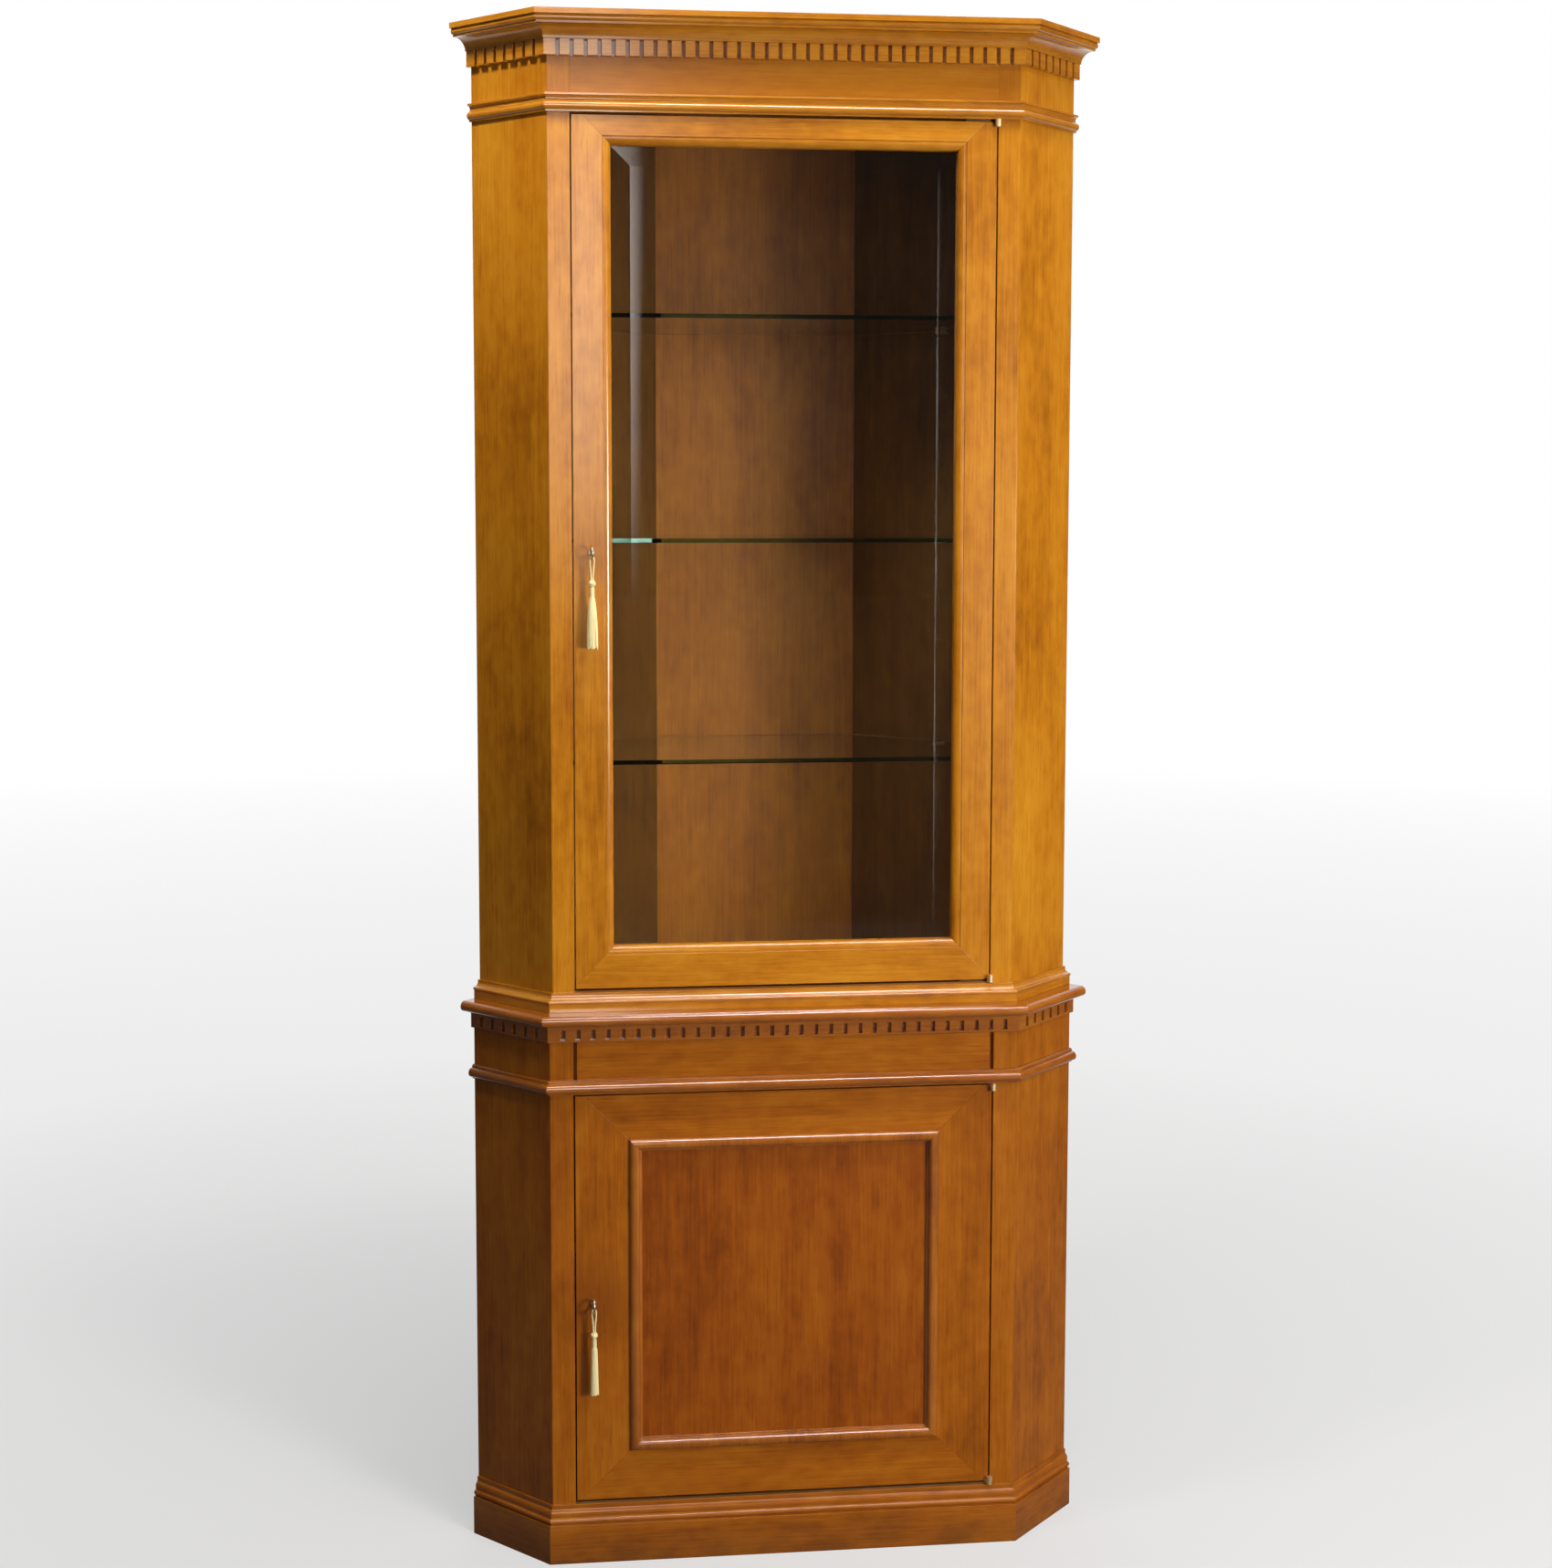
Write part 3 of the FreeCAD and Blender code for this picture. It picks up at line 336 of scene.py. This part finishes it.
# Glazed door: stiles and rails mitred at the corners with a stuck moulding, glass held by inner beads.
# Honey-coloured wood, upright in the stiles and level in the rails; the pane has a broad ground bevel.
glazed_key_low, glazed_key_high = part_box("glazed_door_key")
dress(wood_finish("glazed_stile_wood", "upright", case_tones, coat=0.25, seed=7.3,
                  handled=(glazed_key_high.x, case_front, (glazed_key_low.z + glazed_key_high.z) / 2)),
      "glazed_door_left_stile", "glazed_door_right_stile")
dress(wood_finish("glazed_rail_wood", "level", case_tones, coat=0.25, seed=8.6),
      "glazed_door_top_rail", "glazed_door_bottom_rail")
dress(wood_finish("glazing_bead_wood", "upright", case_tones, seed=1.1), "glazing_beads")
dress(clear_glass("door_pane", None), "door_glass")

# Panel door: mitred frame, a flat veneered panel in its grooves and a raised bead round the panel.
# The frame and bead match the base; the panel's veneer is redder and darker, with upright fibres.
panel_tones = ((0.145, 0.028, 0.0008), (0.283, 0.065, 0.0019), (0.372, 0.107, 0.0048))
panel_key_low, panel_key_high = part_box("panel_door_key")
dress(wood_finish("panel_stile_wood", "upright", base_tones, seed=9.2,
                  handled=(panel_key_high.x, base_front, (panel_key_low.z + panel_key_high.z) / 2)),
      "panel_door_left_stile", "panel_door_right_stile")
dress(wood_finish("panel_rail_wood", "level", base_tones, seed=3.6),
      "panel_door_top_rail", "panel_door_bottom_rail")
dress(wood_finish("panel_bead_wood", "upright", base_tones, None, polish, 0.9, seed=6.8),
      "panel_door_bolection")
dress(wood_finish("panel_veneer", "upright", panel_tones, seed=5.0), "panel_door_panel")

# Pivot hinges: cranked brass plates let into the doors and the case, with turned knuckles in front.
# The knuckles are rubbed to a pale satin; the plates between door and case are painted near-black
# brown, a painted shade for the gap they sit in.
knuckle_bright = (0.900, 0.700, 0.400)
knuckle_dull = (0.620, 0.430, 0.190)
plate_painted_shade = (0.110, 0.065, 0.028)
knuckle_width = 0.0085
hinge_brass = metal_finish("hinge_brass", knuckle_bright, knuckle_dull, (0.42, 0.62))
hinge_tree = hinge_brass.node_tree
hinge_spot = add_node(hinge_tree, "TexCoord").outputs["Object"]
hinge_place = add_node(hinge_tree, "SeparateXYZ", {0: hinge_spot})
# Left of the knuckles the plates take the near-black colour: painted shade in the gap between door and
# case.
on_knuckle = sum_of(hinge_tree, "GREATER_THAN", hinge_place.outputs[0],
                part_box("glazed_door_hinge_plates")[1].x - knuckle_width)
hinge_colour = hinge_tree.nodes["Principled BSDF"].inputs["Base Color"]
knuckle_colour = hinge_colour.links[0].from_socket
hinge_tree.links.new(colour_mix(hinge_tree, on_knuckle, (*plate_painted_shade, 1), knuckle_colour), hinge_colour)
dress(hinge_brass, "cabinet_hinge_plates", "glazed_door_hinge_plates", "panel_door_hinge_plates")

# Rim locks: folded steel cases screwed inside the left stiles, each with a sliding bolt.
# Zinc-plated steel, brushed along the case.
zinc_bright = (0.560, 0.570, 0.580)
zinc_dull = (0.300, 0.300, 0.300)
dress(metal_finish("lock_steel", zinc_bright, zinc_dull, (0.30, 0.50), 0.1),
      "glazed_door_lock_case", "glazed_door_lock_bolt", "panel_door_lock_case", "panel_door_lock_bolt")

# Keys: cast bow, turned shank with a collar and a filed bit, one in each lock.
# Nickelled brass, worn to the yellow metal in patches.
nickel_bright = (0.660, 0.600, 0.470)
nickel_worn = (0.450, 0.320, 0.150)
dress(metal_finish("key_nickel", nickel_bright, nickel_worn, (0.18, 0.40)),
      "glazed_door_key", "panel_door_key")

# Key tassels: a cord looped over the key's bow and tied in a ball knot, a bound neck, a skirt of yarn.
# Cream viscose yarn; cord, binding and strands are twisted from the same thread.
yarn_light = (0.970, 0.915, 0.580)
yarn_pale = (0.940, 0.830, 0.420)
yarn_shade = (0.660, 0.420, 0.120)
cord_diameter = 0.002
cord_drop = 0.030
loop_radius = 0.00295
knot_radius = 0.0050
neck_radius = 0.0031
neck_length = 0.012
strand_radius = 0.0010
strand_levels = (0.025, 0.05, 0.10, 0.17, 0.26, 0.37, 0.50, 0.66, 0.83)
strand_rings = ((22, 1.0), (14, 0.66), (6, 0.30))
strand_tuck = 0.0005
strand_sway = 0.0008
ragged_ends = 0.0028
opening_share = 0.05
ball_share, wrap_share, wrap_thick_share = 0.80, 0.76, 0.23
wrap_turns = ((0, 0, 0), (1.1, 0, 0.3), (-1.0, 0.25, 1.2), (1.25, -0.2, 2.3), (0.15, 0.5, 0))
neck_gap = 0.0015
core_share = 0.80
core_overlap = 0.001
core_rounding = 0.0008
winding_count = 7
winding_foot = 0.001
winding_pitch = 0.0015
winding_thickness = 0.00085
skirts = {"glazed": {"shoulder": 0.0, "curve": 2.8, "lobes": 5, "dip": 0.0035},
          "panel": {"shoulder": 0.35, "curve": 1.0, "lobes": 3, "dip": 0.0008}}


def yarn_finish(name, twist):
    """Soft twisted yarn with a silky sheen; twist is how many fine turns show in a metre."""
    material = bpy.data.materials.new(name)
    material.use_nodes = True
    tree = material.node_tree
    surface = tree.nodes["Principled BSDF"]
    place = add_node(tree, "TexCoord").outputs["Object"]
    lean = add_node(tree, "Mapping", {"Vector": place, "Rotation": (0.5, 0.6, 0.0)}).outputs[0]
    turns = add_node(tree, "TexWave", {"Vector": lean, "Scale": twist, "Distortion": 1.5,
                                       "Detail": 2.0}, bands_direction="Z")
    fuzz = add_node(tree, "TexNoise", {"Vector": place, "Scale": 900.0, "Detail": 3.0})
    shade = sum_of(tree, "MULTIPLY", turns.outputs["Fac"], 0.45)
    shade = add_node(tree, "Math", {0: fuzz.outputs["Fac"], 1: 0.45, 2: shade},
                     operation="MULTIPLY_ADD").outputs[0]
    colour = ramp(tree, shade, ((0.10, yarn_shade), (0.42, yarn_pale), (0.85, yarn_light)))
    tree.links.new(colour, surface.inputs["Base Color"])
    surface.inputs["Roughness"].default_value = 0.62
    surface.inputs["Sheen Weight"].default_value = 0.3
    bump = add_node(tree, "Bump", {"Strength": 0.5, "Distance": 0.0003, "Height": turns.outputs["Fac"]})
    tree.links.new(bump.outputs[0], surface.inputs["Normal"])
    return material


yarn = yarn_finish("tassel_yarn", 420.0)


def finish_piece(piece, name, body, nodes):
    """Names a modelled piece, smooths it, gives it the yarn and hands it to its body."""
    piece.name = name
    bpy.ops.object.select_all(action="DESELECT")
    piece.select_set(True)
    bpy.context.view_layer.objects.active = piece
    bpy.ops.object.transform_apply(location=True, rotation=True, scale=True)
    if piece.type == "MESH":
        bpy.ops.object.shade_smooth_by_angle(angle=math.radians(50))
    piece.data.materials.clear()
    piece.data.materials.append(yarn)
    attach(piece, body)
    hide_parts(*nodes)


def joined(pieces):
    bpy.ops.object.select_all(action="DESELECT")
    for piece in pieces:
        piece.select_set(True)
    bpy.context.view_layer.objects.active = pieces[0]
    bpy.ops.object.join()
    return bpy.context.object


def ring_of_yarn(centre, radius, thickness, turn):
    bpy.ops.mesh.primitive_torus_add(major_segments=28, minor_segments=8, major_radius=radius,
                                     minor_radius=thickness, location=centre, rotation=turn)
    return bpy.context.object


def hung_strand(top, length, skirt_radius, angle, ring_share, sway, skirt):
    """A copy of the plain strand that leaves the neck and hangs in the skirt's outline."""
    rod = plain_strand.copy()
    rod.data = plain_strand.data.copy()
    bpy.context.scene.collection.objects.link(rod)
    for vertex in rod.data.vertices:
        fall = min(1.0, max(0.0, -vertex.co.z))
        opened = skirt["shoulder"] + (1 - skirt["shoulder"]) * (1 - (1 - fall) ** skirt["curve"])
        opened = opened * min(1.0, fall / opening_share)
        reach = ring_share * (neck_radius + (skirt_radius - neck_radius) * opened - strand_radius)
        wave = sway * fall * math.sin(5 * fall + 3 * angle)
        vertex.co.x += top.x + reach * math.cos(angle) - wave * math.sin(angle)
        vertex.co.y += top.y + reach * math.sin(angle) + wave * math.cos(angle)
        vertex.co.z = top.z - length * fall
    return rod


bpy.ops.object.select_all(action="DESELECT")
bpy.ops.mesh.primitive_cylinder_add(vertices=7, radius=strand_radius, depth=1.0, location=(0, 0, -0.5))
plain_strand = bpy.context.object
bpy.ops.object.transform_apply(location=True, rotation=False, scale=False)
bpy.ops.object.mode_set(mode="EDIT")
for level in strand_levels:
    bpy.ops.mesh.select_all(action="SELECT")
    bpy.ops.mesh.bisect(plane_co=(0, 0, -level), plane_no=(0, 0, 1))
bpy.ops.object.mode_set(mode="OBJECT")

sway_draw = random.Random(7)
for word, skirt in skirts.items():
    loop_node = word + "_door_tassel_loop"
    tassel_node = word + "_door_tassel"
    loop_low, loop_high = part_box(loop_node)
    low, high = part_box(tassel_node)
    hang = (loop_low + loop_high) / 2
    hang.z = loop_high.z - loop_radius - cord_diameter / 2
    knot = Vector((hang.x, hang.y, loop_low.z + knot_radius))
    skirt_radius = (high.x - low.x) / 2
    skirt_top = Vector((knot.x, knot.y, high.z - neck_length - neck_gap))

    route = [(-0.0012, -cord_drop), (-0.0013, -0.020), (-0.0026, -0.008), (-loop_radius, 0.0013),
             (-0.0016, loop_radius), (0.0016, loop_radius), (loop_radius, 0.0013), (0.0026, -0.008),
             (0.0013, -0.020), (0.0012, -cord_drop)]
    curve = bpy.data.curves.new(word + "_tassel_cord", "CURVE")
    curve.dimensions = "3D"
    curve.bevel_depth = cord_diameter / 2
    curve.bevel_resolution = 3
    curve.resolution_u = 8
    curve.use_fill_caps = True
    spline = curve.splines.new("NURBS")
    spline.points.add(len(route) - 1)
    for point, (aside, rise) in zip(spline.points, route):
        point.co = (hang.x + aside, hang.y, hang.z + rise, 1)
    spline.order_u = 3
    spline.use_endpoint_u = True
    cord = bpy.data.objects.new(word + "_tassel_cord", curve)
    bpy.context.scene.collection.objects.link(cord)
    finish_piece(cord, word + "_tassel_cord", word + "_loop", [loop_node])

    bpy.ops.mesh.primitive_uv_sphere_add(segments=24, ring_count=14, radius=knot_radius * ball_share,
                                         location=knot)
    wraps = [bpy.context.object]
    for turn in wrap_turns:
        wraps.append(ring_of_yarn(knot, knot_radius * wrap_share, knot_radius * wrap_thick_share, turn))
    ball = joined(wraps)
    finish_piece(ball, word + "_tassel_knot", word + "_loop", [loop_node])

    bpy.ops.mesh.primitive_cylinder_add(vertices=24, radius=neck_radius * core_share,
                                        depth=neck_length + core_overlap,
                                        location=(knot.x, knot.y, skirt_top.z + neck_length / 2))
    bpy.ops.object.mode_set(mode="EDIT")
    bpy.ops.mesh.select_all(action="SELECT")
    bpy.ops.mesh.bevel(offset=core_rounding, segments=3, affect="EDGES")
    bpy.ops.object.mode_set(mode="OBJECT")
    members = [bpy.context.object]
    for turn in range(winding_count):
        wind = Vector((knot.x, knot.y, skirt_top.z + winding_foot + winding_pitch * turn))
        members.append(ring_of_yarn(wind, neck_radius * core_share, winding_thickness,
                                    (0.06, 0.04, 0.5 * turn)))
    for count, ring_share in strand_rings:
        for index in range(count):
            angle = 2 * math.pi * (index + 0.4 * sway_draw.random()) / count
            lobe = 0.5 - 0.5 * math.cos(skirt["lobes"] * angle)
            drop = skirt_top.z - low.z - skirt["dip"] * lobe - ragged_ends * sway_draw.random()
            sway = strand_sway * sway_draw.uniform(-1, 1)
            members.append(hung_strand(skirt_top + Vector((0, 0, strand_tuck)), drop, skirt_radius,
                                       angle, ring_share, sway, skirt))
    tassel = joined(members)
    finish_piece(tassel, word + "_key_tassel", word + "_tassel", [tassel_node])

bpy.data.objects.remove(plain_strand)

# Studio: the cabinet stands on a wide pale floor that fades to white with distance, under a white sky.
# The camera stands left of the middle and above half height, as the photograph was taken.
# Lamps at the right and above light the front and mouldings, weaker ones the left and the bevel.
photo_size = (1700, 1718)
photo_focal = 2393.7
photo_centre = (802.2, 745.0)
camera_place = (-0.3866, case_front - 2.9351, 1.4670)
camera_tilt, camera_turn = 4.759, 6.114
soft_edge_gain = 36.0
warm_white = (1.0, 0.97, 0.93)
back_from, back_full = 0.35, 0.75
floor_dark = (0.14, 0.14, 0.14)
floor_pale = (0.54, 0.54, 0.54)
fade_reach = 9.0
fade_stops = ((0.05, (0.48, 0.48, 0.48)), (0.30, (0.80, 0.80, 0.80)), (1.0, (1, 1, 1)))
camera_data = bpy.data.cameras.new("photo_camera")
camera_data.sensor_width = 36.0
camera_data.lens = photo_focal * camera_data.sensor_width / photo_size[1]
camera_data.shift_x = (photo_size[0] / 2 - photo_centre[0]) / photo_size[1]
camera_data.shift_y = (photo_centre[1] - photo_size[1] / 2) / photo_size[1]
camera = bpy.data.objects.new("photo_camera", camera_data)
camera.location = camera_place
camera.rotation_euler = (math.radians(90 - camera_tilt), 0, math.radians(-camera_turn))
bpy.context.scene.collection.objects.link(camera)
bpy.context.scene.camera = camera
bpy.context.scene.view_settings.view_transform = "Standard"


def soft_lamp(name, spot, target, size, watts, tint, spread_angle=180):
    """A lamp that fades toward its edges; the gain keeps its power."""
    data = bpy.data.lights.new(name, "AREA")
    data.spread = math.radians(spread_angle)
    data.shape = "RECTANGLE"
    data.size, data.size_y = size
    data.energy = watts
    data.color = tint
    data.use_nodes = True
    tree = data.node_tree
    place = add_node(tree, "SeparateXYZ", {0: add_node(tree, "NewGeometry").outputs["Parametric"]})
    across, along = (sum_of(tree, "MULTIPLY", share, sum_of(tree, "SUBTRACT", 1.0, share))
                     for share in place.outputs[:2])
    fade = sum_of(tree, "MULTIPLY", sum_of(tree, "MULTIPLY", across, along), soft_edge_gain)
    tree.links.new(fade, tree.nodes["Emission"].inputs["Strength"])
    lamp = bpy.data.objects.new(name, data)
    lamp.location = spot
    lamp.rotation_euler = (Vector(target) - Vector(spot)).to_track_quat("-Z", "Y").to_euler()
    bpy.context.scene.collection.objects.link(lamp)


soft_lamp("right_lamp", (2.0, -2.7, 1.3), (0.0, 0.0, 1.2), (1.0, 1.0), 80, warm_white)
soft_lamp("high_lamp", (1.9, -3.2, 4.3), (0.0, 0.0, 1.2), (0.9, 0.7), 50, warm_white)
soft_lamp("over_lamp", (0.48, -1.2, 4.4), (0.2, -0.2, 1.0), (2.0, 0.5), 66, (1.0, 0.98, 0.95))
soft_lamp("strip_lamp", (-0.145, -4.3, 2.1), (0.0, 0.0, 1.5), (0.46, 2.0), 13, warm_white)
soft_lamp("edge_lamp", (1.38, -3.5, 1.3), (0.2, -0.1, 1.3), (0.045, 2.4), 2.6, (1.0, 0.98, 0.96))
soft_lamp("left_lamp", (-1.1, -0.75, 3.0), (-0.39, -0.1, 1.9), (0.45, 0.45), 3.0, (1.0, 0.95, 0.87),
          spread_angle=60)

bpy.ops.object.select_all(action="DESELECT")
bpy.ops.mesh.primitive_plane_add(size=60, location=(0, 0, 0))
floor = bpy.context.object
floor.name = "studio_floor"
floor_material = bpy.data.materials.new("pale_floor")
floor_material.use_nodes = True
floor_tree = floor_material.node_tree
floor_surface = floor_tree.nodes["Principled BSDF"]


def in_sight(tree, behind):
    """How far a ray shows the pale surroundings: direct, through glass, or mirrored from behind."""
    path = add_node(tree, "LightPath")
    bounced = sum_of(tree, "ADD", path.outputs["Diffuse Depth"], path.outputs["Glossy Depth"])
    through_glass = sum_of(tree, "MULTIPLY", path.outputs["Is Transmission Ray"],
                           sum_of(tree, "LESS_THAN", bounced, 0.5))
    mirrored = sum_of(tree, "MULTIPLY", path.outputs["Is Glossy Ray"], behind)
    straight = sum_of(tree, "MAXIMUM", path.outputs["Is Camera Ray"], through_glass)
    return sum_of(tree, "MAXIMUM", straight, mirrored)


floor_place = add_node(floor_tree, "TexCoord").outputs["Object"]
floor_reach = add_node(floor_tree, "VectorMath", {0: floor_place}, operation="LENGTH").outputs["Value"]
floor_depth = add_node(floor_tree, "SeparateXYZ", {0: floor_place}).outputs[1]
floor_way = sum_of(floor_tree, "DIVIDE", floor_depth, floor_reach)
floor_back = add_node(floor_tree, "MapRange", {"Value": floor_way, "From Min": back_from,
                                               "From Max": back_full}).outputs[0]
floor_seen = in_sight(floor_tree, floor_back)
floor_tree.links.new(colour_mix(floor_tree, floor_seen, (*floor_dark, 1), (*floor_pale, 1)),
                     floor_surface.inputs["Base Color"])
floor_surface.inputs["Roughness"].default_value = 0.9
floor_surface.inputs["Specular IOR Level"].default_value = 0.1
floor_fade = ramp(floor_tree, sum_of(floor_tree, "DIVIDE", floor_reach, fade_reach), fade_stops)
floor_fade = sum_of(floor_tree, "MULTIPLY", floor_fade, floor_seen)
floor_glow = add_node(floor_tree, "Emission", {"Color": (1, 1, 1, 1)})
floor_both = add_node(floor_tree, "MixShader", {0: floor_fade, 1: floor_surface.outputs[0],
                                                2: floor_glow.outputs[0]})
floor_tree.links.new(floor_both.outputs[0], floor_tree.nodes["Material Output"].inputs["Surface"])
floor.data.materials.append(floor_material)

world = bpy.data.worlds.new("studio")
world.use_nodes = True
sky_tree = world.node_tree
sky_way = add_node(sky_tree, "SeparateXYZ", {0: add_node(sky_tree, "TexCoord").outputs["Generated"]})
sky_front = spread(sky_tree, sum_of(sky_tree, "MULTIPLY", sky_way.outputs[2], 1.6), 0.02, 0.14)
sky_back = add_node(sky_tree, "MapRange", {"Value": sky_way.outputs[1], "From Min": back_from,
                                           "From Max": back_full}).outputs[0]
sky_path = add_node(sky_tree, "LightPath")
sky_side = spread(sky_tree, sum_of(sky_tree, "MAXIMUM", sky_way.outputs[0], -0.2), 0.03, 0.17)
sky_behind = add_node(sky_tree, "MapRange", {"Value": sky_way.outputs[1], "From Min": back_from,
                                             "From Max": 0.8, "To Max": 0.85}).outputs[0]
sky_light = sum_of(sky_tree, "ADD", sky_side, sky_behind)
sky_strength = add_node(sky_tree, "Mix", {0: sky_path.outputs["Is Glossy Ray"], 2: sky_light,
                                          3: sky_front}).outputs[0]
sky_strength = sum_of(sky_tree, "MAXIMUM", sky_strength, in_sight(sky_tree, sky_back))
sky = sky_tree.nodes["Background"]
sky.inputs["Color"].default_value = (1, 1, 1, 1)
sky_tree.links.new(sky_strength, sky.inputs["Strength"])
bpy.context.scene.world = world
